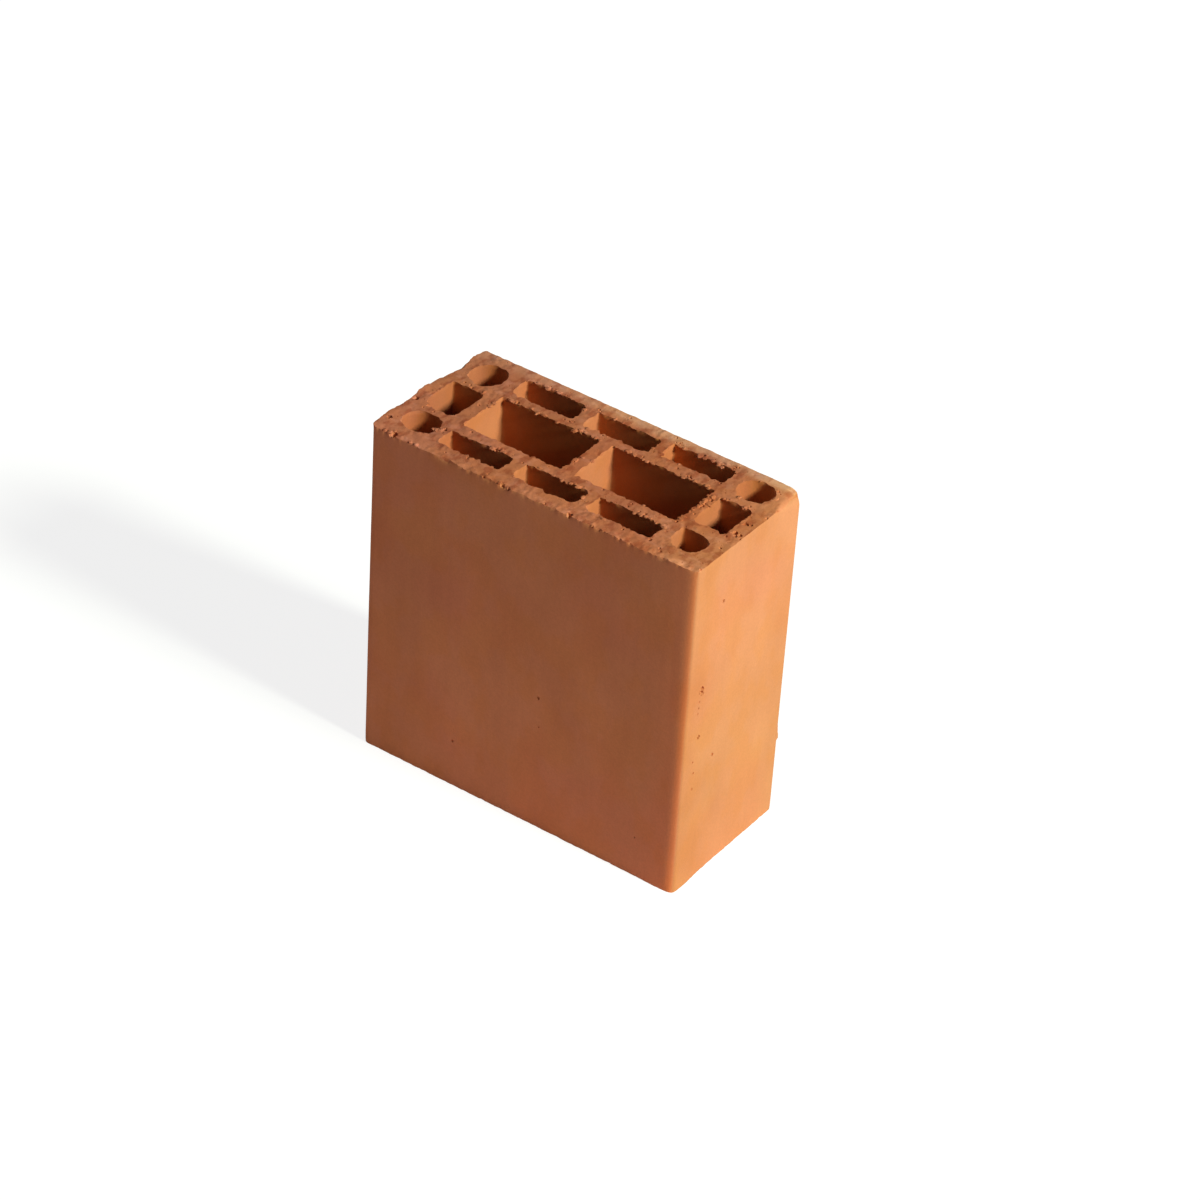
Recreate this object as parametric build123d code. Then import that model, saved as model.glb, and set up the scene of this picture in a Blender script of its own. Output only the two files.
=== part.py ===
from build123d import *
import os

# A perforated clay block: clay pushed through a die, cut to height with a wire and fired in one piece.
# It stands on a cut end, so all its holes run straight up through it.
# Origin at the centre of the base, X along the length, Y across the width, Z up. Lengths in mm.

# Outside of the block
length = 190
width = 90
height = 190
outer_corner_radius = 3.5
cut_edge_chamfer = 0.8

# Walls between the outside and the holes
side_wall = 9
end_wall = 7

# Two large cells in the middle, with one web between them
cell_count = 2
cell_web = 7
cell_corner_radius = 1.5

# A row of slots along each side, walled off from the large cells
slots_per_side = 3
slot_width = 13
slot_web = 6
slot_septum = 7
slot_corner_radius = 2.2

# At each end, a round hole by each corner and a squarish hole between them
corner_hole_diameter = 18.5
end_septum = 6
end_web = 5.5
end_hole_corner_radius = 2

# A corner never takes up more than this share of half the narrow side of its hole
corner_limit_share = 0.95

# What the walls leave for the holes
middle_length = length - 2 * (end_wall + corner_hole_diameter + end_septum)
cell_length = (middle_length - (cell_count - 1) * cell_web) / cell_count
cell_width = width - 2 * (side_wall + slot_width + slot_septum)
slot_length = (middle_length - (slots_per_side - 1) * slot_web) / slots_per_side
end_hole_width = width - 2 * (side_wall + corner_hole_diameter + end_web)

# Rows of hole centres
slot_row_y = width / 2 - side_wall - slot_width / 2
corner_hole_x = length / 2 - end_wall - corner_hole_diameter / 2
corner_hole_y = width / 2 - side_wall - corner_hole_diameter / 2


def row(count, size, gap):
    """Centres along X of a row of equal holes that is centred on the block."""
    pitch = size + gap
    first = -(count - 1) * pitch / 2
    return [first + index * pitch for index in range(count)]


def rounded_hole(size_x, size_y, radius):
    """A rectangular hole with rounded corners, seen from above."""
    largest_radius = corner_limit_share * min(size_x, size_y) / 2
    return RectangleRounded(size_x, size_y, min(radius, largest_radius))


def large_cells():
    """The rectangular cells in the middle of the block."""
    cell = rounded_hole(cell_length, cell_width, cell_corner_radius)
    return [Pos(x, 0) * cell for x in row(cell_count, cell_length, cell_web)]


def side_slots():
    """The slots along both sides."""
    slot = rounded_hole(slot_length, slot_width, slot_corner_radius)
    centres = row(slots_per_side, slot_length, slot_web)
    return [Pos(x, side * slot_row_y) * slot for side in (-1, 1) for x in centres]


def end_holes():
    """Three holes at each end: round by the corners, squarish between them."""
    round_hole = Circle(corner_hole_diameter / 2)
    middle_hole = rounded_hole(corner_hole_diameter, end_hole_width, end_hole_corner_radius)
    holes = []
    for end in (-1, 1):
        holes.append(Pos(end * corner_hole_x, 0) * middle_hole)
        for side in (-1, 1):
            holes.append(Pos(end * corner_hole_x, side * corner_hole_y) * round_hole)
    return holes


def clay_block():
    """The die's section pushed up to the cut height, with the arris of both cut ends broken."""
    outline = RectangleRounded(length, width, outer_corner_radius)
    column = extrude(outline, height)
    cut_ends = column.faces().filter_by(Axis.Z)
    column = chamfer(cut_ends.edges(), cut_edge_chamfer)
    holes = Sketch() + large_cells() + side_slots() + end_holes()
    return column - extrude(holes, height)


os.makedirs("parts", exist_ok=True)
export_step(clay_block(), "parts/clay_block.step")
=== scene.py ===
"""A perforated clay block on a pale floor: its torn cut faces, its fired clay and its light."""
import math
import random

import bmesh
import bpy
from mathutils import Euler, Matrix, Vector, noise
from mathutils.geometry import delaunay_2d_cdt
from mathutils.kdtree import KDTree


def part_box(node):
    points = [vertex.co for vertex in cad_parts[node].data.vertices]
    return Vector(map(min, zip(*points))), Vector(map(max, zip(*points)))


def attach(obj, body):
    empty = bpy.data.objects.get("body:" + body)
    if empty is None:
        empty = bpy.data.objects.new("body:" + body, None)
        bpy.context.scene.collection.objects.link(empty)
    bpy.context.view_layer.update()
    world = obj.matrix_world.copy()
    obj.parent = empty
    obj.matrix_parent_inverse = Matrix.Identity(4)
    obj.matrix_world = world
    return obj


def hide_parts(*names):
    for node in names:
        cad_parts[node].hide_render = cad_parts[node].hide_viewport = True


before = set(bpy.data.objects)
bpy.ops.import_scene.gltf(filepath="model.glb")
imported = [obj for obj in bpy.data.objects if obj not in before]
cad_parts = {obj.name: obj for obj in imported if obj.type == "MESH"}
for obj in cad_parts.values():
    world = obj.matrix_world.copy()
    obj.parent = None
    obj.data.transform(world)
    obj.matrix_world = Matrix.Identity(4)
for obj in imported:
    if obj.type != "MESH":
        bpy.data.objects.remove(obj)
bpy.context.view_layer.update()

# Lengths are millimetres until a mesh is finished, and metres from there on
MM = 0.001
NODE = "clay_block"
low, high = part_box(NODE)
LENGTH, WIDTH, HEIGHT = ((h - l) / MM for l, h in zip(low, high))

# The block came out a little smaller than the solid, which leaves room for its bulges, lips and crumbs.
# Its cut face lies lower, and no lump or lip on it comes nearer to the solid's top than the headroom.
SIZE_SHARE = 0.995
FACE_INSET = 0.3
TOP_INSET = 1.1
HEADROOM = 0.15
TOP = HEIGHT - TOP_INSET
HIGHEST = HEIGHT / SIZE_SHARE - HEADROOM
BACK_TAPER = 2.0  # the back face leans in by this much towards the right end
# Radii of the upright edges along X and Y: near right, far right, far left, near left
OUTER_RADII = ((6.0, 2.2), (3.5, 3.5), (2.5, 2.5), (3.9, 3.9))

# Walls and webs of the section
SIDE_WALL = 9
END_WALL = 7
CELL_WEB = 7
SLOT_WIDTH = 13
SLOT_WEB = 6
SLOT_SEPTUM = 7
CORNER_HOLE = 18.5
END_SEPTUM = 6
END_WEB = 5.5
SLOTS_A_SIDE = 3

middle = LENGTH - 2 * (END_WALL + CORNER_HOLE + END_SEPTUM)
cell_length = (middle - CELL_WEB) / 2
cell_width = WIDTH - 2 * (SIDE_WALL + SLOT_WIDTH + SLOT_SEPTUM)
slot_length = (middle - (SLOTS_A_SIDE - 1) * SLOT_WEB) / SLOTS_A_SIDE
end_hole_width = WIDTH - 2 * (SIDE_WALL + CORNER_HOLE + END_WEB)
slot_y = WIDTH / 2 - SIDE_WALL - SLOT_WIDTH / 2
corner_x = LENGTH / 2 - END_WALL - CORNER_HOLE / 2
corner_y = WIDTH / 2 - SIDE_WALL - CORNER_HOLE / 2

# How far each hole of this block drifted along X and Y, and how much wider it came out along X and Y
DRIFT = {
    "front_slot_0": (0.3, 0.5, -1.2, -0.5),
    "front_slot_1": (0.1, 0.4, -1.6, -0.1),
    "front_slot_2": (-1.6, 0.5, -1.5, -0.5),
    "back_slot_0": (0.9, -0.4, -1.8, 1.2),
    "back_slot_1": (0.5, -1.2, -0.5, 0.4),
    "back_slot_2": (-1.0, 0.9, -1.7, -0.3),
    "cell_0": (1.0, 0.1, -1.4, 0.0),
    "cell_1": (-0.3, 0.3, -1.1, 0.1),
    "corner_back_left": (0.2, 0.3, 0.0, 1.3),
    "corner_back_right": (-1.1, 1.5, 0.4, -1.1),
    "corner_front_left": (0.7, 0.4, 1.0, -1.4),
    "corner_front_right": (-1.9, 1.1, -1.0, -2.6),
    "end_hole_left": (0.0, -0.5, 0.8, 1.1),
    "end_hole_right": (-1.8, 1.5, -0.1, 0.4),
}

# Corner radii: near right, far right, far left, near left
HOLE_RADII = (2.5, 2.5, 0.9, 2.4)
RADII = {
    "front_slot_1": (4.6, 4.2, 0.9, 2.4),
    "back_slot_0": (3.4, 3.6, 0.9, 2.4),
    "back_slot_1": (3.4, 3.0, 0.9, 2.4),
    "front_slot_2": (1.9, 1.7, 0.9, 2.4),
    "back_slot_2": (1.8, 1.6, 0.9, 2.4),
    "cell_0": (1.6, 1.4, 0.9, 1.6),
    "cell_1": (1.8, 1.4, 0.9, 1.6),
    "end_hole_left": (3.4, 3.6, 0.9, 7.5),
    "end_hole_right": (2.4, 2.0, 1.4, 2.2),
    "corner_front_right": (9.0, 9.0, 1.4, 9.0),
}

# Spacing of the mesh's points, and the depths below a cut face at which its rings lie
FINE = 0.62
CAP_SPACING = 0.68
BOTTOM_SPACING = 1.7
TOP_FINE_DEPTHS = (0, 0.4, 0.9, 1.5, 2.3)
BOTTOM_FINE_DEPTHS = (0, 0.9)
HALF_DEPTHS = (3.3, 4.8, 7.0, 10.5)
OUTER_STEP = 8
HOLE_STEP = 11


class Hole:
    """One hole through the block: its place and size in the section, and its corner radii."""

    def __init__(self, name, x, y, size_x, size_y, radii):
        shift_x, shift_y, wider_x, wider_y = DRIFT[name]
        self.x = x + shift_x
        self.y = y + shift_y
        self.size_x = size_x + wider_x
        self.size_y = size_y + wider_y
        limit = min(self.size_x, self.size_y) / 2
        self.radii = [(min(r, limit), min(r, limit)) for r in RADII.get(name, radii)]

    def room(self, point):
        """How far the wall could come forward at a point before it met the wall round the corner."""
        return max(self.size_x / 2 - abs(point.x - self.x), self.size_y / 2 - abs(point.y - self.y))


def block_holes():
    """The fourteen holes, as they came out of the die."""
    holes = []
    for index, side in enumerate((-1, 1)):
        x = side * (cell_length + CELL_WEB) / 2
        holes.append(Hole(f"cell_{index}", x, 0, cell_length, cell_width, HOLE_RADII))
    for row, side in (("front", -1), ("back", 1)):
        for index in range(SLOTS_A_SIDE):
            x = (index - (SLOTS_A_SIDE - 1) / 2) * (slot_length + SLOT_WEB)
            name = f"{row}_slot_{index}"
            holes.append(Hole(name, x, side * slot_y, slot_length, SLOT_WIDTH, HOLE_RADII))
        for end, sign in (("left", -1), ("right", 1)):
            name = f"corner_{row}_{end}"
            round_corners = (CORNER_HOLE / 2,) * 4
            place = (sign * corner_x, side * corner_y)
            holes.append(Hole(name, *place, CORNER_HOLE, CORNER_HOLE, round_corners))
    for end, sign in (("left", -1), ("right", 1)):
        name = f"end_hole_{end}"
        holes.append(Hole(name, sign * corner_x, 0, CORNER_HOLE, end_hole_width, HOLE_RADII))
    return holes


def rounded_path(x, y, size_x, size_y, radii, steps=24):
    """Points round a rounded rectangle, anticlockwise, each with its corner's smaller radius."""
    path = []
    corners = ((1, -1), (1, 1), (-1, 1), (-1, -1))
    for quarter, ((sx, sy), (radius_x, radius_y)) in enumerate(zip(corners, radii)):
        centre = Vector((x + sx * (size_x / 2 - radius_x), y + sy * (size_y / 2 - radius_y)))
        for step in range(steps + 1):
            angle = math.radians(90 * (quarter - 1 + step / steps))
            reach = Vector((radius_x * math.cos(angle), radius_y * math.sin(angle)))
            path.append((centre + reach, min(radius_x, radius_y)))
    return path


# Points on a tight corner are never further apart than this share of its radius
CORNER_STEP_SHARE = 0.25
LEAST_STEP = 1e-9


def resampled(path, spacing):
    """Points about a spacing apart along a closed path, closer on tight corners, a multiple of four."""
    steps = []
    for i, (place, radius) in enumerate(path):
        after, radius_after = path[i - len(path) + 1]
        on_corner = radius == radius_after and (after - place).length < spacing
        closest = min(spacing, CORNER_STEP_SHARE * radius) if on_corner else spacing
        steps.append((after - place).length / closest)
    count = 4 * round(sum(steps) / 4)
    points, index, walked = [], 0, 0.0
    for k in range(count):
        target = sum(steps) * k / count
        while walked + steps[index] < target:
            walked += steps[index]
            index += 1
        along = (target - walked) / max(steps[index], LEAST_STEP)
        points.append(path[index][0].lerp(path[index - len(path) + 1][0], along))
    return points


def normals_of(points):
    """The direction out of the clay at each point of a loop that keeps the clay on its left."""
    normals = []
    for i in range(len(points)):
        run = points[i - len(points) + 1] - points[i - 1]
        normals.append(Vector((run.y, -run.x)).normalized())
    return normals


# A seed moves the noise by itself along X and back along Y, and upward by this share of it
SEED_UP = 0.37


def field(point, scale, seed, stretch=(1, 1, 1)):
    """Smooth noise from -1 to 1, with lumps about as large as scale."""
    x, y, z = (c * s / scale for c, s in zip(point, stretch))
    return noise.noise(Vector((x + seed, y - seed, z + SEED_UP * seed)))


def layered(point, layers, seed=0.0, usual=0.0):
    """Layers of noise on a usual value, each one (strength, size, seed) or those and a stretch."""
    for strength, size, own_seed, *stretch in layers:
        usual += strength * field(point, size, seed + own_seed, *stretch)
    return usual


def near(distance, reach):
    """A share that is one at a place and falls off smoothly over a reach."""
    return math.exp(-(distance / reach) ** 2)


def along_table(table, place):
    """The value at a place between the rows of a table of (place, value)."""
    for (a, left), (b, right) in zip(table, table[1:]):
        if place <= b:
            return left + (right - left) * (place - a) / (b - a)
    return table[-1][1]


# How the rims of the holes tore when the wire went through: most on the far and right rims, in patches
TEAR_LEAN = Vector((-0.75, -1.0))
TORN_LAYERS = ((1.6, 12, 3),)
TORN_USUAL = 0.3
TORN_LEAST = 0.1
TORN_MOST = 1.5
BURR = 2.4
BURR_LAYERS = ((1.0, 2.3, 51),)
BURR_USUAL = 0.1
BURR_DEPTH = 0.9
TALLEST_BURR = 2.0
RIM_WEAR = 0.5
RIM_WEAR_LAYERS = ((1.6, 3.5, 23),)
RIM_WEAR_USUAL = 0.2
RIM_LAYERS = ((1.0, 2.6, 71), (0.6, 1.4, 77))
RIM_RAGGED = 0.4
NEAR_RIM_RAGGED = 1.1
RAGGED_LAYERS = ((1.0, 9, 79),)
RAGGED_USUAL = 0.6
RAGGED_LEAST = 0.2

# The bottom's rims and edges take their noise from this much further on
BOTTOM_SEED = 50


def torn_share(point, normal, end_seed):
    """How torn a hole's rim is here, from nothing up to TORN_MOST."""
    patch = max(TORN_LEAST, layered((*point, 0), TORN_LAYERS, end_seed, TORN_USUAL))
    return min(TORN_MOST, max(0.0, normal.dot(TEAR_LEAN)) * patch)


def rim_tear(point, normal, end_seed):
    """How far a hole's rim stands into the hole, in millimetres, below zero where clay broke away."""
    place = (*point, 0)
    burr = BURR * torn_share(point, normal, end_seed)
    burr *= max(0.0, layered(place, BURR_LAYERS, end_seed, BURR_USUAL))
    wear = RIM_WEAR * max(0.0, layered(place, RIM_WEAR_LAYERS, end_seed, RIM_WEAR_USUAL))
    patch = max(RAGGED_LEAST, layered(place, RAGGED_LAYERS, end_seed, RAGGED_USUAL))
    ragged = RIM_RAGGED + NEAR_RIM_RAGGED * max(0.0, normal.y) * patch
    return min(TALLEST_BURR, burr - wear + ragged * layered(place, RIM_LAYERS, end_seed))


# How a wall wanders off its plane: slow waves, the die's upright streaks and small lumps. Each hole has
# a seed of its own, by its place.
WALL_LAYERS = ((0.15, 45, 0, (1, 1, 0.5)), (0.045, 3.2, 5, (1, 1, 0.03)), (0.03, 4.5, 9))
OUTER_LAYERS = ((0.08, 45, 0, (1, 1, 0.5)), *WALL_LAYERS[1:])
OUTER_SEED = 2
HOLE_SEED = 40.0
SEED_BY_X, SEED_BY_Y = 0.13, 0.17


# How the outer edge of the top face wore, in millimetres. On the left edge, as (distance from the front,
# how far it has gone back), below zero where the wire left a raised lip. On the front edge, as nicks:
# (distance from the left end, how far back, half width).
LEFT_WEAR = (
    (0, -0.4), (6, -1), (13, -1.4), (20, -1), (27, -0.5), (32, -0.4), (35, -0.8), (38, -1.4), (45, -1.6),
    (52, -0.8), (56, -0.2), (60, 0.3), (63, 1.2), (70.5, 2.3), (74, 1.2), (78, 0.4), (81, 0.1),
    (85, 0.2), (90, 1),
)
FRONT_NICKS = (
    (45, 1.4, 4), (60, 0.5, 1.6), (70, 0.6, 2), (79, 0.9, 2.5), (91, 0.4, 2), (109, 0.6, 1.8),
    (117, 0.8, 2), (129, 0.3, 1.4), (134, 0.7, 1.8), (146, 0.5, 1.5), (152, 0.5, 1.8), (170, 0.6, 2),
)
EDGE_LAYERS = ((1.0, 2.4, 31), (0.7, 1.1, 37))
EDGE_WEAR = 0.2
EDGE_ROUGH = 0.1
FRONT_ROUGH = 0.3
LEFT_ROUGH = 0.25
BOTTOM_WEAR = 0.05
BOTTOM_ROUGH = 0.25
EDGE_DEPTH = 1.3
CRUMBLY_FROM_LEFT = 12
CRUMBLY_REACH = 8
LIP_UP_SHARE = 0.8
LIP_OUT_SHARE = 0.45
LIP_REACH = 6.5

# The top edge at the right is rubbed round towards the far corner: its radius there, and how long it is
RUBBED_RADIUS = 8.5
RUBBED_LENGTH = 25


def rubbed_radius(point):
    """The radius of the rubbed edge beside a point of the top face."""
    from_back = WIDTH / 2 - BACK_TAPER - point.y
    return RUBBED_RADIUS * min(1.0, max(0.0, 1 - from_back / RUBBED_LENGTH)) * (point.x > LENGTH / 3)


def rounding(radius, distance):
    """How far a rounded edge has fallen off at a distance from it."""
    return radius - math.sqrt(max(0.0, radius ** 2 - max(0.0, radius - distance) ** 2))


# The foot of the block spreads a little on both sides of its near corner: how far out, the distance from
# the corner at which it is widest, and how far it reaches to both sides of that
RIGHT_FOOT = (0.65, 9, 9)
FRONT_FOOT = (0.4, 9, 20)
FOOT_HEIGHT = 25


def foot_spread(point, normal, z):
    """How far the foot of the block stands out."""
    spread = 0.0
    for facing, along, (out, widest, reach) in (
        (normal.x, point.y + WIDTH / 2, RIGHT_FOOT),
        (-normal.y, LENGTH / 2 - point.x, FRONT_FOOT),
    ):
        spread = max(spread, out * max(0.0, facing) ** 2 * near(along - widest, reach))
    return spread * math.exp(-z / FOOT_HEIGHT)


def top_edge_wear(point, normal, depth):
    """How far the outer edge of the top face has gone back at a depth below it."""
    front, left, right = max(0.0, -normal.y), max(0.0, -normal.x), max(0.0, normal.x)
    from_left = point.x + LENGTH / 2
    left_wear = along_table(LEFT_WEAR, point.y + WIDTH / 2)
    crumbly = near(from_left - CRUMBLY_FROM_LEFT, CRUMBLY_REACH)
    rough = EDGE_ROUGH + FRONT_ROUGH * front * (1 + crumbly) + LEFT_ROUGH * left
    wear = EDGE_WEAR + rough * layered((*point, 0), EDGE_LAYERS)
    wear += front * sum(back * near(from_left - x, half) for x, back, half in FRONT_NICKS)
    wear += left * max(0.0, left_wear)
    lip = left * LIP_OUT_SHARE * max(0.0, -left_wear)
    radius = rubbed_radius(point)
    corner = right * rounding(radius, depth + radius * (1 - math.sqrt(0.5)))
    return (max(0.0, wear) - lip) * math.exp(-depth / EDGE_DEPTH) + corner


def bottom_edge_wear(point, height):
    """How far the outer edge of the bottom face has gone back at a height above it."""
    wear = BOTTOM_WEAR + BOTTOM_ROUGH * layered((*point, 0), EDGE_LAYERS, BOTTOM_SEED)
    return max(0.0, wear) * math.exp(-height / EDGE_DEPTH)


# The relief of a cut face: slow waves, and the wire's drag and torn clay, which are rougher in patches
SLOW_LAYERS = ((0.2, 26, 0), (0.26, 5.5, 21))
DRAG_LAYERS = ((0.1, 2.8, 3, (1, 0.35, 1)),)
TORN_CLAY_LAYERS = ((0.22, 2.4, 7), (0.11, 1.2, 13))
ROUGH_LAYERS = ((1.0, 14, 17),)
ROUGH_USUAL = 0.3
ROUGH_LEAST = 0.4
ROUGH_SWING = 1.3
TOP_RELIEF_SEED = 60
BOTTOM_RELIEF_SEED = 90


def cut_relief(x, y, seed):
    """The relief of a cut face."""
    place = (x, y, 0)
    torn = layered(place, DRAG_LAYERS, seed) + layered(place, TORN_CLAY_LAYERS, seed)
    rough = ROUGH_LEAST + ROUGH_SWING * max(0.0, layered(place, ROUGH_LAYERS, seed, ROUGH_USUAL))
    return layered(place, SLOW_LAYERS, seed) + torn * rough


# The front edge of the top face is worn to a wavy bevel, with a low ragged ridge behind it
BEVEL_DROP = 0.9
BEVEL_WIDTH = 1.3
BEVEL_LAYERS = ((1.0, 9, 45), (0.5, 3.5, 47))
BEVEL_USUAL = 0.45
BEVEL_LEAST = 0.1
RIDGE = 0.5
RIDGE_FROM_EDGE = 2.2
RIDGE_REACH = 1.2
RIDGE_LAYERS = ((1.0, 3, 41), (0.5, 1.3, 43))
RIDGE_USUAL = 0.35


def top_height(x, y):
    """The height of the top face, with its lip at the left, its front ridge and its rubbed corner."""
    from_left, from_right = x + LENGTH / 2, LENGTH / 2 - FACE_INSET - x
    from_front = y + WIDTH / 2 - FACE_INSET
    ridge = RIDGE * max(0.0, layered((x, y, 0), RIDGE_LAYERS, 0, RIDGE_USUAL))
    bevel = BEVEL_DROP * max(BEVEL_LEAST, layered((x, 0, 0), BEVEL_LAYERS, 0, BEVEL_USUAL))
    lip = LIP_UP_SHARE * max(0.0, -along_table(LEFT_WEAR, y + WIDTH / 2))
    height = TOP + cut_relief(x, y, TOP_RELIEF_SEED)
    height += ridge * near(from_front - RIDGE_FROM_EDGE, RIDGE_REACH)
    height -= bevel * math.exp(-max(0.0, from_front) / BEVEL_WIDTH)
    height += lip * near(from_left, LIP_REACH)
    height -= rounding(rubbed_radius(Vector((x, y))), from_right)
    return min(height, HIGHEST)


def bottom_height(x, y):
    """The height of the bottom face: it touches the floor, with hollows between."""
    return abs(cut_relief(x, y, BOTTOM_RELIEF_SEED))


def inside_fences(triangles, fences, first_inner):
    """The triangles that can be reached from the inner points without crossing a fence."""
    closed = {frozenset(edge) for edge in fences}
    beside = {}
    for number, triangle in enumerate(triangles):
        for i in range(3):
            edge = frozenset((triangle[i], triangle[i - 1]))
            if edge not in closed:
                beside.setdefault(edge, []).append(number)
    reached = {n for n, triangle in enumerate(triangles) if max(triangle) >= first_inner}
    waiting = list(reached)
    while waiting:
        triangle = triangles[waiting.pop()]
        for i in range(3):
            for number in beside.get(frozenset((triangle[i], triangle[i - 1])), ()):
                if number not in reached:
                    reached.add(number)
                    waiting.append(number)
    return [triangles[n] for n in sorted(reached)]


# How the faces of a cap are found: those inside the loops, with points this close taken as one
FILL_INSIDE = 1
SAME_POINT = 1e-6


class Shell:
    """The vertices and faces of the block while it is made."""

    def __init__(self):
        self.vertices = []
        self.faces = []

    def add(self, x, y, z):
        self.vertices.append((x, y, z))
        return len(self.vertices) - 1

    def strip(self, upper, lower):
        """Faces between two rings, where either may have twice the points of the other."""
        if len(upper) == len(lower):
            for i in range(len(upper)):
                j = i + 1 - len(upper)
                self.faces.append((lower[i], lower[j], upper[j]))
                self.faces.append((lower[i], upper[j], upper[i]))
            return
        up = len(upper) > len(lower)
        fine, coarse = (upper, lower) if up else (lower, upper)
        for i in range(len(coarse)):
            a, b = coarse[i], coarse[i + 1 - len(coarse)]
            f, g, h = fine[2 * i], fine[2 * i + 1], fine[2 * i + 2 - len(fine)]
            for face in ((a, g, f), (a, b, g), (b, h, g)):
                self.faces.append(face if up else face[::-1])

    def cap(self, loops, inner, height_at, upward):
        """Closes the block's end between its loops, through the inner points."""
        flat = [Vector(self.vertices[v][:2]) for loop in loops for v in loop]
        index = [v for loop in loops for v in loop]
        edges = []
        start = 0
        for loop in loops:
            count = len(loop)
            edges += [(start + i, start + (i + 1) % count) for i in range(count)]
            start += count
        for x, y in inner:
            flat.append(Vector((x, y)))
            index.append(self.add(x, y, height_at(x, y)))
        found = delaunay_2d_cdt(flat, edges, [], FILL_INSIDE, SAME_POINT)
        given = [o[0] for o in found[3]]
        triangles = [tuple(given[v] for v in face) for face in found[2]]
        for triangle in inside_fences(triangles, edges, start):
            corners = tuple(index[v] for v in triangle)
            self.faces.append(corners if upward else corners[::-1])


def ring_depths(step):
    """(depth, how coarse) of each ring from the top face down to the bottom one."""
    coarse = 2 if step == OUTER_STEP else 4
    rings = [(d, 1) for d in TOP_FINE_DEPTHS] + [(d, 2) for d in HALF_DEPTHS]
    top_end, bottom_end = HALF_DEPTHS[-1], HEIGHT - HALF_DEPTHS[1]
    steps = round((bottom_end - top_end) / step)
    rings += [(top_end + (bottom_end - top_end) * k / steps, coarse) for k in range(1, steps)]
    rings += [(HEIGHT - HALF_DEPTHS[1], 2)]
    rings += [(HEIGHT - d, 2) for d in reversed(BOTTOM_FINE_DEPTHS)]
    return rings


def outer_shift(point, normal, z, depth):
    """How far an outer face lies off the box: its inset, its waves and its worn edges."""
    shift = layered((*point, z), OUTER_LAYERS, OUTER_SEED)
    shift = shift - FACE_INSET + foot_spread(point, normal, z)
    return shift - top_edge_wear(point, normal, depth) - bottom_edge_wear(point, z)


def outer_path():
    """The outline of the block, its back leaning in towards the right end."""
    path = rounded_path(0, 0, LENGTH, WIDTH, OUTER_RADII)
    for place, radius in path:
        place.y -= BACK_TAPER * (place.x / LENGTH + 0.5) * (place.y / WIDTH + 0.5)
    return path


# The bottom's rims are torn by this share of the top's
BOTTOM_TEAR = 0.6
# A torn rim takes up at most this share of the room before the next corner, and always may a little
ROOM_SHARE = 0.65
ROOM_LEAST = 0.1


def hole_shift(point, normal, z, depth, seed, room):
    """How far a hole's wall lies off its outline: its waves and its torn rims."""
    shift = layered((*point, z), WALL_LAYERS, seed)
    shift += near(depth, BURR_DEPTH) * rim_tear(point, normal, 0)
    shift += BOTTOM_TEAR * near(z, BURR_DEPTH) * rim_tear(point, normal, BOTTOM_SEED)
    return min(shift, ROOM_LEAST + ROOM_SHARE * room)


def wall(shell, points, hole=None):
    """One upright wall of the block, outside or round a hole. Returns its top and bottom rings."""
    normals = normals_of(points)
    seed = HOLE_SEED + points[0].x * SEED_BY_X + points[0].y * SEED_BY_Y

    def place_at(i, depth):
        point, normal, z = points[i], normals[i], HEIGHT - depth
        if hole:
            return point + normal * hole_shift(point, normal, z, depth, seed, hole.room(point))
        return point + normal * outer_shift(point, normal, z, depth)

    tops = [top_height(*place_at(i, 0)) for i in range(len(points))]
    rings = []
    for depth, coarse in ring_depths(HOLE_STEP if hole else OUTER_STEP):
        ring = []
        for i in range(0, len(points), coarse):
            place = place_at(i, depth)
            bottom = bottom_height(*place)
            ring.append(shell.add(*place, bottom + (tops[i] - bottom) * (1 - depth / HEIGHT)))
        if rings:
            shell.strip(rings[-1], ring)
        rings.append(ring)
    return rings[0], rings[-1]


def rim_points(shell, loops):
    """The points of some rings of the shell, each with its direction out of the clay."""
    points = []
    for loop in loops:
        for i, vertex in enumerate(loop):
            before, after = (Vector(shell.vertices[loop[k]]) for k in (i - 1, i + 1 - len(loop)))
            outward = Vector((after.y - before.y, before.x - after.x)).normalized()
            points.append((Vector(shell.vertices[vertex]).xy, outward))
    return points


# Inner points of a cap keep this share of their spacing clear of its loops, and are moved by this share
CLEAR_SHARE = 0.6
JITTER = 0.2


def inner_points(shell, loops, spacing, seed):
    """Jittered points over the clay between the loops."""
    rim = rim_points(shell, loops)
    tree = KDTree(len(rim))
    for number, (place, outward) in enumerate(rim):
        tree.insert((*place, 0), number)
    tree.balance()
    rng = random.Random(seed)
    row_height = spacing * math.sin(math.radians(60))
    clear = CLEAR_SHARE * spacing
    inner = []
    for row in range(int(WIDTH / row_height)):
        for column in range(int(LENGTH / spacing)):
            x = -LENGTH / 2 + (column + 0.5 * (row % 2) + rng.uniform(-JITTER, JITTER)) * spacing
            y = -WIDTH / 2 + row * row_height + rng.uniform(-JITTER, JITTER) * spacing
            found, number, distance = tree.find((x, y, 0))
            place, outward = rim[number]
            if distance > clear and outward.dot(Vector((x, y)) - place) < -clear / 2:
                inner.append((x, y))
    return inner


class Lump:
    """One rough pebble: a crumb to join to the block, or the shape of a pit to cut from it."""

    def __init__(self, place, radius, shape):
        self.place = Vector(place)
        self.radius = radius
        self.shape = Vector(shape)


LUMP_ROUGHNESS = 0.45
LUMP_RIPPLE = 1.7
LARGE_LUMP = 0.85
SMALL_LUMP = 0.5
FURTHEST_SEED = 90
FURTHEST_TURN = 3


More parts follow.
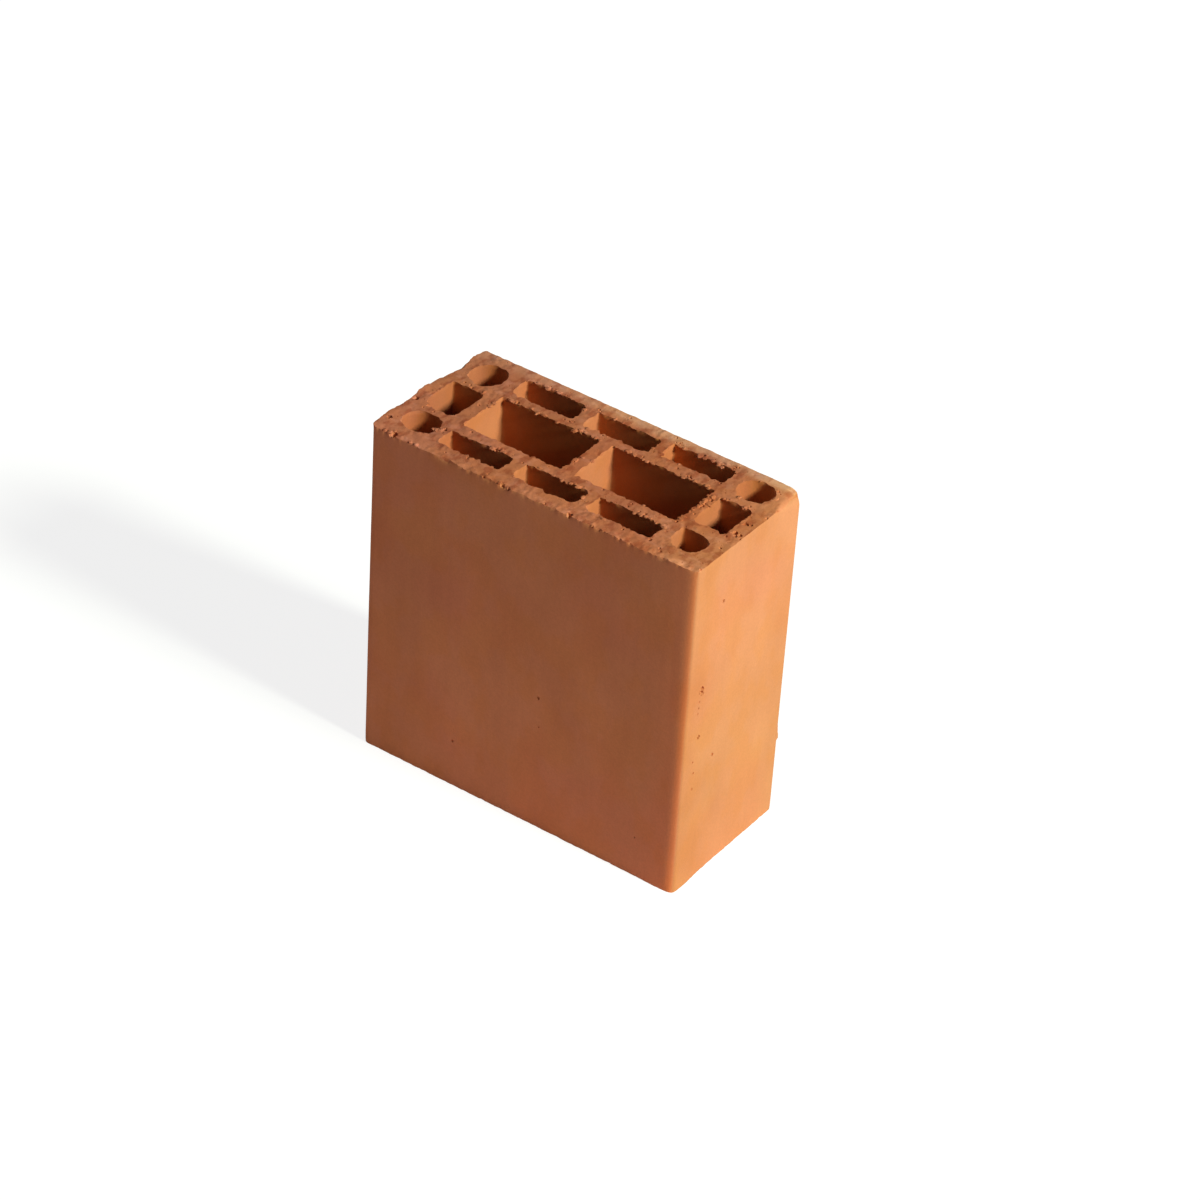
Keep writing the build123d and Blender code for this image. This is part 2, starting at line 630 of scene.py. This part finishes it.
def drawn(rng, most):
    """Three random numbers up to a largest one."""
    return rng.uniform(0, most), rng.uniform(0, most), rng.uniform(0, most)


def lump_mesh(lumps, rng):
    """The lumps as one mesh of rough pebbles."""
    bm = bmesh.new()
    for lump in lumps:
        detail = 1 + (lump.radius > SMALL_LUMP) + (lump.radius > LARGE_LUMP)
        made = bmesh.ops.create_icosphere(bm, subdivisions=detail, radius=1)
        seed = Vector(drawn(rng, FURTHEST_SEED))
        turn = Euler(drawn(rng, FURTHEST_TURN))
        for vertex in made["verts"]:
            place = vertex.co * (1 + LUMP_ROUGHNESS * noise.noise(vertex.co * LUMP_RIPPLE + seed))
            place.rotate(turn)
            vertex.co = lump.place + place * lump.shape * lump.radius
    for face in bm.faces:
        face.smooth = True
    mesh = bpy.data.meshes.new("lumps")
    bm.to_mesh(mesh)
    bm.free()
    return mesh


# Two lumps may touch where they are nearer than this share of their radii together
TOUCH_SHARE = 1.45


def apart(lump, other):
    """Whether two lumps are too far apart to touch."""
    return (lump.place - other.place).length > TOUCH_SHARE * (lump.radius + other.radius)


def in_layers(lumps):
    """The lumps in layers, so that no two in a layer touch."""
    layers = []
    for lump in lumps:
        for layer in layers:
            if all(apart(lump, other) for other in layer):
                layer.append(lump)
                break
        else:
            layers.append([lump])
    return layers


def combine(mesh, lumps, operation, rng):
    """The mesh with the lumps joined to it or cut from it."""
    for layer in in_layers(lumps):
        block = bpy.data.objects.new("block", mesh)
        tool = bpy.data.objects.new("lumps", lump_mesh(layer, rng))
        for thing in (block, tool):
            bpy.context.scene.collection.objects.link(thing)
        modifier = block.modifiers.new("lumps", "BOOLEAN")
        modifier.operation = operation
        modifier.solver = "MANIFOLD"
        modifier.object = tool
        graph = bpy.context.evaluated_depsgraph_get()
        mesh = bpy.data.meshes.new_from_object(block.evaluated_get(graph))
        bpy.data.objects.remove(block)
        bpy.data.objects.remove(tool)
    return mesh


# Crumbs and pits of the top face: distance from the left end, distance from the front, radius
CRUMBS = (
    (8.0, 1.8, 1.0), (11.0, 2.1, 1.2), (12.4, 3.6, 0.9), (23.3, 1.5, 0.8), (26.8, 1.6, 0.9),
    (26.6, 17.9, 1.3), (25.0, 17.3, 0.8), (28.4, 18.6, 0.8), (56.2, 22.3, 1.2), (58.4, 24.0, 0.9),
    (60.9, 23.8, 1.1), (57.2, 23.9, 0.8), (62.9, 23.2, 0.8), (45.6, 81.3, 1.2), (47.6, 82.5, 0.9),
    (51.8, 82.1, 1.1), (49.8, 82.6, 0.8), (38.3, 61.4, 1.1), (40.2, 62.6, 0.8), (50.0, 62.2, 0.8),
    (66.4, 60.6, 0.9), (77.0, 59.9, 1.3), (79.0, 61.9, 0.9), (106.4, 21.9, 1.1), (102.2, 22.3, 0.9),
    (104.2, 23.3, 0.8), (142.3, 23.0, 1.2), (139.2, 21.4, 0.8), (145.0, 22.8, 0.9), (76.2, 1.5, 0.8),
    (135.3, 80.9, 1.4), (138.2, 80.8, 1.0), (146.3, 80.4, 0.9), (148.9, 79.4, 0.9), (145.6, 61.7, 0.9),
    (142.2, 62.0, 0.7), (152.1, 62.4, 1.2), (153.9, 61.2, 0.9), (158.8, 48.6, 1.1), (158.2, 51.8, 1.0),
    (159.6, 56.2, 1.1), (158.8, 45.6, 0.9), (158.4, 41.8, 0.8), (176.0, 58.7, 1.1), (118.8, 60.6, 0.9),
    (116.4, 60.8, 0.7),
)
PITS = (
    (3.1, 11.0, 1.4), (2.3, 33.0, 1.2), (10.7, 32.5, 1.1), (13.6, 1.8, 1.4), (12.4, 0.2, 0.8),
    (29.5, 20.4, 0.9), (67.6, 0.5, 0.8), (78.4, 0.7, 1.1), (82.0, 0.5, 0.9), (116.9, 1.5, 1.3),
    (130.4, 0.2, 0.7), (134.3, 0.2, 0.9), (137.0, 0.2, 0.6), (146.0, 0.2, 0.8), (151.6, 0.2, 0.7),
    (157.1, 8.8, 0.9), (158.2, 28.8, 0.7), (142.8, 62.4, 0.7), (41.9, 62.0, 0.9), (36.0, 60.9, 0.8),
    (80.6, 60.4, 1.0), (183.9, 48.1, 1.1), (186.4, 48.8, 0.8), (184.4, 38.9, 1.2), (187.2, 38.4, 1.0),
    (185.8, 36.6, 0.9), (133.1, 65.5, 0.6), (170.4, 0.3, 0.7), (58.6, 22.3, 0.9), (26.7, 19.5, 0.7),
    (49.8, 80.9, 0.8), (104.3, 21.6, 0.8), (143.8, 24.3, 0.8), (137.0, 82.3, 0.8), (160.3, 47.2, 0.8),
    (160.6, 53.8, 0.9),
)
# Pits of the front face: distance from the left end, height, radius
FRONT_PITS = (
    (105.8, 77.6, 0.9), (106.9, 60.6, 0.5), (56.1, 27.2, 0.8), (56.3, 34.4, 0.4), (166.4, 23.0, 0.5),
)
FRONT_PIT_SHAPE = (1, 0.8, 1.2)
# Pits of the right face: distance from the front, height, radius
RIGHT_PITS = (
    (12.1, 116.0, 1.9), (12.9, 113.6, 1.2), (11.1, 109.4, 0.7), (10.9, 106.0, 0.6), (10.5, 102.7, 0.6),
    (12.9, 87.7, 1.1), (9.6, 74.7, 0.6), (10.9, 67.4, 0.6), (26.7, 69.4, 0.9), (10.8, 58.0, 0.7),
    (24.8, 160.4, 0.9),
)
RIGHT_PIT_SHAPE = (1.3, 1.1, 1.1)

# A lump of clay on the upright edge at the far right, a quarter of the way up: how far it lies from the
# corner along X and Y, its height, and its radius
EDGE_LUMP = (-1.9, -2.6, 47, 2.0)
EDGE_LUMP_SHAPE = (1, 1, 3.2)

# How far the lumps of the top face stand out of it, and their widths and depths, in radii
CRUMB_RAISED = 0.05
SMALL_CRUMB_RAISED = -0.1
PIT_RAISED = -0.1
SMALL_PIT_RAISED = 0
CRUMB_FLATNESS = 0.55
CRUMB_WIDTH = 1.25
SMALL_CRUMB_WIDTHS = (0.85, 1.8)
PIT_DEPTH = 1.3

# Small crumbs and pits are strewn at random: how many, how far into the clay they lie from the rims, and
# their radii, as the least and how much larger the largest is
LUMP_SEED = 11
SMALL_CRUMBS = 130
CRUMB_REACH = (-0.3, 1.6)
CRUMB_RADII = (0.4, 0.9)
SMALL_PITS = 120
RIM_PITS = 110
PIT_REACH = (0.8, 3.0)
PIT_RADII = (0.25, 0.45)
STREWN_USUAL = 0.15  # the chance of a small lump where the rim is not torn


def top_lump(x, y, radius, raised, flatness, width=CRUMB_WIDTH):
    """A lump at a place on the top face, no higher than the solid's box."""
    reach = flatness * radius * (1 + LUMP_ROUGHNESS / 2)
    height = min(top_height(x, y) + radius * raised, HIGHEST - reach)
    return Lump((x, y, height), radius, (width, CRUMB_WIDTH ** 2 / width, flatness))


def strewn(shell, loops, count, reach, rng):
    """Places on the top face beside the rims of the holes, most of them where the rims are torn."""
    rim = rim_points(shell, loops[1:])
    places = []
    while len(places) < count:
        place, outward = rng.choice(rim)
        if rng.random() < STREWN_USUAL + torn_share(place, outward, 0):
            places.append(place - outward * rng.uniform(*reach))
    return places


def small_radius(rng, least, swing):
    """A random radius, mostly near the least."""
    return least + swing * rng.random() ** 3


def crumbs_of(shell, loops, rng):
    """The crumbs on the top face: those of the table, and small ones strewn along the torn rims."""
    lumps = [
        top_lump(x - LENGTH / 2, y - WIDTH / 2, radius, CRUMB_RAISED, CRUMB_FLATNESS)
        for x, y, radius in CRUMBS
    ]
    for spot in strewn(shell, loops, SMALL_CRUMBS, CRUMB_REACH, rng):
        radius, width = small_radius(rng, *CRUMB_RADII), rng.uniform(*SMALL_CRUMB_WIDTHS)
        lumps.append(top_lump(*spot, radius, SMALL_CRUMB_RAISED, CRUMB_FLATNESS, width))
    edge_x, edge_y, edge_z, edge_radius = EDGE_LUMP
    place = (LENGTH / 2 + edge_x, WIDTH / 2 - BACK_TAPER + edge_y, edge_z)
    return lumps + [Lump(place, edge_radius, EDGE_LUMP_SHAPE)]


def pits_of(shell, loops, inner, rng):
    """The pits of the top face and of the outer faces."""
    lumps = [
        top_lump(x - LENGTH / 2, y - WIDTH / 2, radius, PIT_RAISED, PIT_DEPTH)
        for x, y, radius in PITS
    ]
    spots = rng.sample(inner, SMALL_PITS)
    for spot in spots + strewn(shell, loops, RIM_PITS, PIT_REACH, rng):
        lumps.append(top_lump(*spot, small_radius(rng, *PIT_RADII), SMALL_PIT_RAISED, PIT_DEPTH))
    for x, z, radius in FRONT_PITS:
        lumps.append(Lump((x - LENGTH / 2, -WIDTH / 2 + FACE_INSET, z), radius, FRONT_PIT_SHAPE))
    for y, z, radius in RIGHT_PITS:
        lumps.append(Lump((LENGTH / 2 - FACE_INSET, y - WIDTH / 2, z), radius, RIGHT_PIT_SHAPE))
    return lumps


TOP_CAP_SEED = 5
BOTTOM_CAP_SEED = 6


def block_mesh():
    """The whole block as one closed mesh."""
    shell = Shell()
    walls = [wall(shell, resampled(outer_path(), FINE))]
    for hole in block_holes():
        path = rounded_path(hole.x, hole.y, hole.size_x, hole.size_y, hole.radii)
        walls.append(wall(shell, resampled(path[::-1], FINE), hole))
    tops, bottoms = zip(*walls)
    top_inner = inner_points(shell, tops, CAP_SPACING, TOP_CAP_SEED)
    shell.cap(tops, top_inner, top_height, True)
    bottom_inner = inner_points(shell, bottoms, BOTTOM_SPACING, BOTTOM_CAP_SEED)
    shell.cap(bottoms, bottom_inner, bottom_height, False)
    mesh = bpy.data.meshes.new("block")
    mesh.from_pydata(shell.vertices, [], shell.faces)
    mesh.polygons.foreach_set("use_smooth", [True] * len(mesh.polygons))

    rng = random.Random(LUMP_SEED)
    crumbs, pits = crumbs_of(shell, tops, rng), pits_of(shell, tops, top_inner, rng)
    mesh = combine(mesh, crumbs, "UNION", rng)
    return combine(mesh, pits, "DIFFERENCE", rng)


# Edges shorter than this are dissolved, and edges between faces at more than this angle stay crisp
SLIVER = 0.001
CRISP_ANGLE = math.radians(40)


def finished(mesh, name):
    """The mesh in metres, in triangles apart from a few, with its crisp edges kept crisp."""
    bm = bmesh.new()
    bm.from_mesh(mesh)
    bmesh.ops.triangulate(bm, faces=bm.faces)
    bmesh.ops.dissolve_degenerate(bm, dist=SLIVER, edges=bm.edges)
    bmesh.ops.scale(bm, vec=(MM * SIZE_SHARE,) * 3, verts=bm.verts)
    done = bpy.data.meshes.new(name)
    bm.to_mesh(done)
    bm.free()
    done.set_sharp_from_angle(angle=CRISP_ANGLE)
    return done


class Nodes:
    """The nodes of a new material or world, each added with its settings, values and links at once."""

    def __init__(self, owner, output):
        owner.use_nodes = True
        self.tree = owner.node_tree
        self.tree.nodes.clear()
        self.output = self.tree.nodes.new(output)

    def add(self, kind, values=(), links=(), **settings):
        """A new node, with values and links by socket."""
        node = self.tree.nodes.new(kind)
        for name, value in settings.items():
            setattr(node, name, value)
        for socket, value in dict(values).items():
            node.inputs[socket].default_value = value
        for socket, source in dict(links).items():
            self.tree.links.new(source, node.inputs[socket])
        return node

    def noise(self, where, size, detail, stretch=(1, 1, 1)):
        """Noise from 0 to 1 with lumps of a size in millimetres, longer by the stretch."""
        scale = [1 / (size * MM * s) for s in stretch]
        mapping = self.add("ShaderNodeMapping", {"Scale": scale}, {"Vector": where})
        values = {"Scale": 1, "Detail": detail}
        made = self.add("ShaderNodeTexNoise", values, {"Vector": mapping.outputs["Vector"]})
        return made.outputs["Fac"]

    def spread(self, value, low, high, to_low=0.0, to_high=1.0):
        """A value spread smoothly from low and high, whichever is higher, to another range."""
        ends = {"From Min": low, "From Max": high, "To Min": to_low, "To Max": to_high}
        made = self.add("ShaderNodeMapRange", ends, {"Value": value}, interpolation_type="SMOOTHSTEP")
        return made.outputs["Result"]

    def patches(self, where, size, detail, stretch, *ends):
        """Noise from 0 to 1, spread like a value."""
        return self.spread(self.noise(where, size, detail, stretch), *ends)

    def math(self, operation, *values):
        """A sum of values, each of them a float or another node's."""
        numbers = {i: value for i, value in enumerate(values) if isinstance(value, float)}
        links = {i: value for i, value in enumerate(values) if i not in numbers}
        return self.add("ShaderNodeMath", numbers, links, operation=operation).outputs[0]

    def size(self, value):
        """A value without its sign."""
        return self.math("ABSOLUTE", value)

    def product(self, share, *others):
        """Some shares multiplied."""
        for other in others:
            share = self.math("MULTIPLY", share, other)
        return share

    def within(self, x, y, half_x, half_y):
        """One inside an upright box round the origin, and nothing outside it."""
        beyond_x = self.math("SUBTRACT", self.size(x), half_x)
        beyond_y = self.math("SUBTRACT", self.size(y), half_y)
        return self.math("LESS_THAN", self.math("MAXIMUM", beyond_x, beyond_y), 0.0)

    def ramp(self, value, *stops):
        """The colour at a value between two stops of (value, colour)."""
        node = self.add("ShaderNodeValToRGB", {}, {"Fac": value})
        for element, (position, colour) in zip(node.color_ramp.elements, stops):
            element.position, element.color = position, (*colour, 1)
        return node.outputs["Color"]

    def tint(self, colour, share, factor):
        """The colour times a factor, by a share from 0 to 1."""
        node = self.add("ShaderNodeMix", {7: (*factor, 1)}, {0: share, 6: colour}, data_type="RGBA")
        node.blend_type = "MULTIPLY"
        return node.outputs[2]

    def brighten(self, colour, value):
        """The colour times a value."""
        node = self.add("ShaderNodeVectorMath", {}, {0: colour, 1: value}, operation="MULTIPLY")
        return node.outputs[0]

    def finish(self, shader):
        """Links the shader to the output."""
        self.tree.links.new(shader, self.output.inputs["Surface"])


# Colours of the clay, and the noise that mottles it, as its size in millimetres, detail and stretch
CLAY_DARK = (0.55, 0.228, 0.092)
CLAY_LIGHT = (0.62, 0.265, 0.11)
MOTTLES = (26, 5, (1, 1, 1.7))
MOTTLES_FROM, MOTTLES_TO = 0.3, 0.7

# Patches in the clay: their noise, as its size in millimetres, detail and stretch, and how it is spread
PATCHES = {
    "rosy": (60, 2, (1, 1, 1), 0.4, 0.65),
    "ochre": (19, 3, (1, 1, 1.4), 0.42, 0.6),
    "stained": (4.5, 4, (1, 1.8, 1), 0.48, 0.66),
    "pale": (3.5, 3, (1.6, 1, 1), 0.52, 0.66),
    "broken": (5, 3, (1, 1, 1), 0.35, 0.6),
}
# Streaks and grain in the same way, with the range to which they are spread
STREAKS = (6, 3, (1, 1, 12), 0.3, 0.7, 0.992, 1.008)
GRAIN = (1.1, 3, (1, 1, 1), 0.3, 0.7, 0.97, 1.03)

# Powder on the clay, as a bump: the size and detail of its noise, its strength, and its depth in metres
POWDER = (0.7, 4)
POWDER_STRENGTH = 0.5
POWDER_DEPTH = 0.0002
ROUGHNESS = 0.85
SHINE = 0.25

# How far from the middle all holes and the large cells end along X and Y, in metres
HOLES_TO = (0.0925, 0.0415)
CELLS_TO = (0.066, 0.0185)
# How thick the layer of the cut faces is, and above what the crumbs count as cut, in metres
CUT_SKIN = 0.002
CRUMB_FROM = 0.0003

# How far the normal leans where a surface begins to count, and where it counts in full
FRONT_LEAN = (-0.6, -0.95)
RIGHT_LEAN = (0.6, 0.95)
UPRIGHT_LEAN = (0.3, 0.05)
LEVEL_LEAN = (0.15, 0.5)
END_LEAN = (0.5, 0.9)

# Tints of the clay and painted light and shade, in the order in which they are laid on: what multiplies
# the colour, and then where, as the names of surfaces and patches, and as (measure, none here, all
# here), in metres
PATCH_TINTS = (
    ((0.985, 0.925, 0.975), "rosy"),
    ((1.0, 0.97, 0.85), "ochre"),
)
OUTSIDE_TINTS_AND_PAINTED_LIGHT = (
    # The front lighter towards the right, where light is painted on it, and the right face towards the
    # top and the foot
    ((1.08, 1.08, 1.06), "front", ("x", -0.085, 0.03)),
    ((1.06, 1.06, 1.13), "right", ("z", 0.03, 0.18)),
    ((0.94, 1.0, 0.94), "right", ("z", 0.15, 0.02)),
    # Painted shading at the near edge, where the lit right face turns to the shaded front: darker beside
    # it on the right face, lighter beside it on the front, and redder on the edge itself
    ((0.95, 0.93, 0.85), "right", ("y", -0.02, -0.037)),
    ((1.1, 1.04, 0.98), "front", ("x", 0.07, 0.09)),
    ((1.01, 0.86, 0.77), "upright", ("normal_x", 0.75, 0.4), ("normal_x", 0.03, 0.25)),
)
HOLE_TINTS_AND_PAINTED_SHADE = (
    # All holes, darker and redder as painted shade, their long sides, and those of the middle and right
    # slots at the back
    ((0.91, 0.74, 0.69), "wall"),
    ((0.92, 0.9, 0.75), "side_wall"),
    ((1.3, 1.42, 1.4), "side_wall", ("y", 0.02, 0.024), ("x", -0.04, 0.0)),
    # Painted shade further down in the holes, painted light on the ends of the large cells, and painted
    # shade in the holes at the left end
    ((0.88, 0.74, 0.64), "wall", ("depth", 0.012, 0.038)),
    ((1.1, 1.14, 1.16), "cell_end"),
    ((0.88, 0.85, 0.89), "hole_end", ("x", -0.066, -0.072)),
)
CUT_TINTS_AND_PAINTED_LIGHT = (
    # The cut faces, pinker and darker, the darkening partly painted shade of their rough relief, with
    # stains and pale patches
    ((0.89, 0.7, 0.77), "cut"),
    ((0.72, 0.57, 0.5), "cut", "stained"),
    ((1.09, 1.16, 1.35), "cut", "pale"),
    # Towards the right end, towards the left end, and between the cells
    ((1.22, 1.34, 1.26), "cut", ("x", 0.045, 0.094)),
    ((0.92, 0.96, 1.03), "cut", ("x", -0.01, -0.075)),
    ((0.97, 0.9, 0.84), "cut", ("off_middle", 0.02, 0.01), ("x", -0.04, 0.0)),
    # A painted highlight along the back edge, and a pale strip, broken, along the front edge
    ((1.28, 1.84, 2.3), "cut", ("y", 0.0345, 0.041), ("x", -0.09, 0.04, 0.4, 1.0)),
    ((1.38, 1.5, 1.63), "cut", ("y", -0.0395, -0.0443), ("x", -0.02, 0.06, 0.45, 1.0), "broken"),
)


def surfaces_of(nodes, coordinates):
    """Measures of a point of the block, and the surfaces that it belongs to as shares from 0 to 1."""
    x, y, z = nodes.add("ShaderNodeSeparateXYZ", {}, {0: coordinates["Object"]}).outputs
    normal = nodes.add("ShaderNodeSeparateXYZ", {}, {0: coordinates["Normal"]}).outputs
    lean_x, lean_z = nodes.size(normal["X"]), nodes.size(normal["Z"])
    half_height = TOP * SIZE_SHARE * MM / 2
    from_middle = nodes.size(nodes.math("SUBTRACT", z, half_height))
    depth = nodes.math("SUBTRACT", half_height, from_middle)

    inside = nodes.within(x, y, *HOLES_TO)
    outside = nodes.math("SUBTRACT", 1.0, inside)
    skin = nodes.product(nodes.spread(depth, CUT_SKIN, CUT_SKIN / 2), nodes.spread(lean_z, *LEVEL_LEAN))
    cut = nodes.math("MAXIMUM", skin, nodes.spread(depth, CRUMB_FROM, -CRUMB_FROM))
    wall = nodes.math("SUBTRACT", inside, nodes.product(inside, cut))
    end_wall = nodes.product(wall, nodes.spread(lean_x, *END_LEAN))
    cell_end = nodes.product(end_wall, nodes.within(x, y, *CELLS_TO))
    return {
        "x": x, "y": y, "z": z, "normal_x": normal["X"],
        "off_middle": nodes.size(y),
        "depth": depth,
        "front": nodes.product(outside, nodes.spread(normal["Y"], *FRONT_LEAN)),
        "right": nodes.product(outside, nodes.spread(normal["X"], *RIGHT_LEAN)),
        "upright": nodes.product(outside, nodes.spread(lean_z, *UPRIGHT_LEAN)),
        "cut": cut,
        "wall": wall,
        "side_wall": nodes.math("SUBTRACT", wall, end_wall),
        "cell_end": cell_end,
        "hole_end": nodes.math("SUBTRACT", end_wall, cell_end),
    }


def painted(nodes, colour, tints, places):
    """The colour with some tints laid on it, each by the product of its shares."""
    for factor, *shares in tints:
        masks = [
            places[share] if isinstance(share, str) else nodes.spread(places[share[0]], *share[1:])
            for share in shares
        ]
        colour = nodes.tint(colour, nodes.product(*masks), factor)
    return colour


def clay_material():
    """Fired clay: mottled and streaked outside with some painted light, darker and redder in the holes
    by painted shade, and pinker and darker where it was cut, partly by painted shade.
    """
    material = bpy.data.materials.new("fired_clay")
    nodes = Nodes(material, "ShaderNodeOutputMaterial")
    coordinates = nodes.add("ShaderNodeTexCoord").outputs
    where = coordinates["Object"]
    places = surfaces_of(nodes, coordinates)
    places |= {name: nodes.patches(where, *patch) for name, patch in PATCHES.items()}

    mottles = nodes.noise(where, *MOTTLES)
    colour = nodes.ramp(mottles, (MOTTLES_FROM, CLAY_DARK), (MOTTLES_TO, CLAY_LIGHT))
    colour = painted(nodes, colour, PATCH_TINTS, places)
    colour = painted(nodes, colour, OUTSIDE_TINTS_AND_PAINTED_LIGHT, places)
    colour = nodes.brighten(colour, nodes.patches(where, *STREAKS))
    colour = nodes.brighten(colour, nodes.patches(where, *GRAIN))
    colour = painted(nodes, colour, HOLE_TINTS_AND_PAINTED_SHADE, places)
    colour = painted(nodes, colour, CUT_TINTS_AND_PAINTED_LIGHT, places)

    powder = {"Height": nodes.noise(where, *POWDER)}
    bump = nodes.add("ShaderNodeBump", {"Strength": POWDER_STRENGTH, "Distance": POWDER_DEPTH}, powder)
    links = {"Base Color": colour, "Normal": bump.outputs["Normal"]}
    finish = {"Roughness": ROUGHNESS, "Specular IOR Level": SHINE}
    nodes.finish(nodes.add("ShaderNodeBsdfPrincipled", finish, links).outputs["BSDF"])
    return material


# The floor: its half size in metres, its colours near the block and far from it, as its light falls on
# the block, the distances of both, and how the camera sees it
FLOOR_HALF = 6.0
NEAR_COLOUR = (0.98, 0.645, 0.8)
FAR_COLOUR = (0.66, 0.44, 0.54)
NEAR_FLOOR = 0.1
FAR_FLOOR = 0.6
SEEN_COLOUR = (0.3, 0.3, 0.3)
SEEN_GLOW = 0.84


def seen_by(nodes):
    """One where the camera sees the surface, also in a reflection or through glass."""
    rays = nodes.add("ShaderNodeLightPath").outputs
    mirrored = nodes.math("MAXIMUM", rays["Is Glossy Ray"], rays["Is Transmission Ray"])
    return nodes.math("MAXIMUM", rays["Is Camera Ray"], mirrored)


def floor_material():
    """A pale floor that the camera sees as white, apart from the block's shadow."""
    material = bpy.data.materials.new("pale_floor")
    nodes = Nodes(material, "ShaderNodeOutputMaterial")
    where = nodes.add("ShaderNodeTexCoord").outputs["Object"]
    distance = nodes.add("ShaderNodeVectorMath", {}, {0: where}, operation="LENGTH").outputs["Value"]
    further = nodes.spread(distance, NEAR_FLOOR, FAR_FLOOR)
    colour = nodes.ramp(further, (0, NEAR_COLOUR), (1, FAR_COLOUR))
    plain = nodes.add("ShaderNodeBsdfDiffuse", {}, {"Color": colour})
    seen = nodes.add("ShaderNodeBsdfDiffuse", {"Color": (*SEEN_COLOUR, 1)})
    glow = nodes.add("ShaderNodeEmission", {"Strength": SEEN_GLOW})
    both = nodes.add("ShaderNodeAddShader", {}, {0: seen.outputs[0], 1: glow.outputs[0]})
    links = {0: seen_by(nodes), 1: plain.outputs[0], 2: both.outputs[0]}
    nodes.finish(nodes.add("ShaderNodeMixShader", {}, links).outputs[0])
    return material


def build_block():
    """The block as it is seen, in place of the plain solid."""
    block = bpy.data.objects.new("clay_block_fired", finished(block_mesh(), "clay_block_fired"))
    bpy.context.scene.collection.objects.link(block)
    block.data.materials.clear()
    block.data.materials.append(clay_material())
    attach(block, "root")
    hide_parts(NODE)


def build_floor():
    """The floor under the block."""
    corners = [(FLOOR_HALF * x, FLOOR_HALF * y, 0) for x, y in ((-1, -1), (1, -1), (1, 1), (-1, 1))]
    mesh = bpy.data.meshes.new("floor")
    mesh.from_pydata(corners, [], [(0, 1, 2, 3)])
    floor = bpy.data.objects.new("floor", mesh)
    bpy.context.scene.collection.objects.link(floor)
    mesh.materials.append(floor_material())


# The light: one soft lamp to the right, low and a little behind the block, and a dim sky
KEY_ELEVATION = math.radians(32)
KEY_BEHIND = math.radians(0.5)
KEY_STRENGTH = 4.5
KEY_SOFTNESS = math.radians(12)
KEY_COLOUR = (0.9, 0.96, 0.82)
SKY_STRENGTH = 0.07


def build_light():
    """A soft lamp and a dim even sky that the camera sees as white."""
    lamp = bpy.data.lights.new("key", "SUN")
    lamp.energy = KEY_STRENGTH
    lamp.angle = KEY_SOFTNESS
    lamp.color = KEY_COLOUR
    key = bpy.data.objects.new("key", lamp)
    level = math.cos(KEY_ELEVATION)
    across, behind = level * math.cos(KEY_BEHIND), level * math.sin(KEY_BEHIND)
    towards = Vector((across, behind, math.sin(KEY_ELEVATION)))
    key.rotation_euler = towards.to_track_quat("Z", "Y").to_euler()
    bpy.context.scene.collection.objects.link(key)

    world = bpy.data.worlds.new("studio")
    nodes = Nodes(world, "ShaderNodeOutputWorld")
    sky = nodes.add("ShaderNodeBackground", {"Color": (1, 1, 1, 1), "Strength": SKY_STRENGTH})
    seen = nodes.add("ShaderNodeBackground", {"Color": (1, 1, 1, 1)})
    links = {0: seen_by(nodes), 1: sky.outputs[0], 2: seen.outputs[0]}
    nodes.finish(nodes.add("ShaderNodeMixShader", {}, links).outputs[0])
    bpy.context.scene.world = world


# The camera: where it stands, in metres, and how it is turned
CAMERA_AT = (0.90382, -1.34393, 1.26331)
CAMERA_TURN = (0.93404, 0.24809, 0.60122)  # axis times angle, in radians
FOCAL_SHARE = 4133.4 / 1200  # focal length over the picture's width
SENSOR = 36.0
CLIP_END = 50


def build_camera():
    """The photograph's viewpoint."""
    data = bpy.data.cameras.new("camera")
    data.sensor_width = SENSOR
    data.lens = FOCAL_SHARE * SENSOR
    data.clip_end = CLIP_END
    camera = bpy.data.objects.new("camera", data)
    turn = Vector(CAMERA_TURN)
    camera.matrix_world = Matrix.Translation(CAMERA_AT) @ Matrix.Rotation(turn.length, 4, turn)
    bpy.context.scene.collection.objects.link(camera)
    bpy.context.scene.camera = camera


build_camera()
build_light()
build_floor()
build_block()

bpy.context.scene.view_settings.view_transform = "Standard"
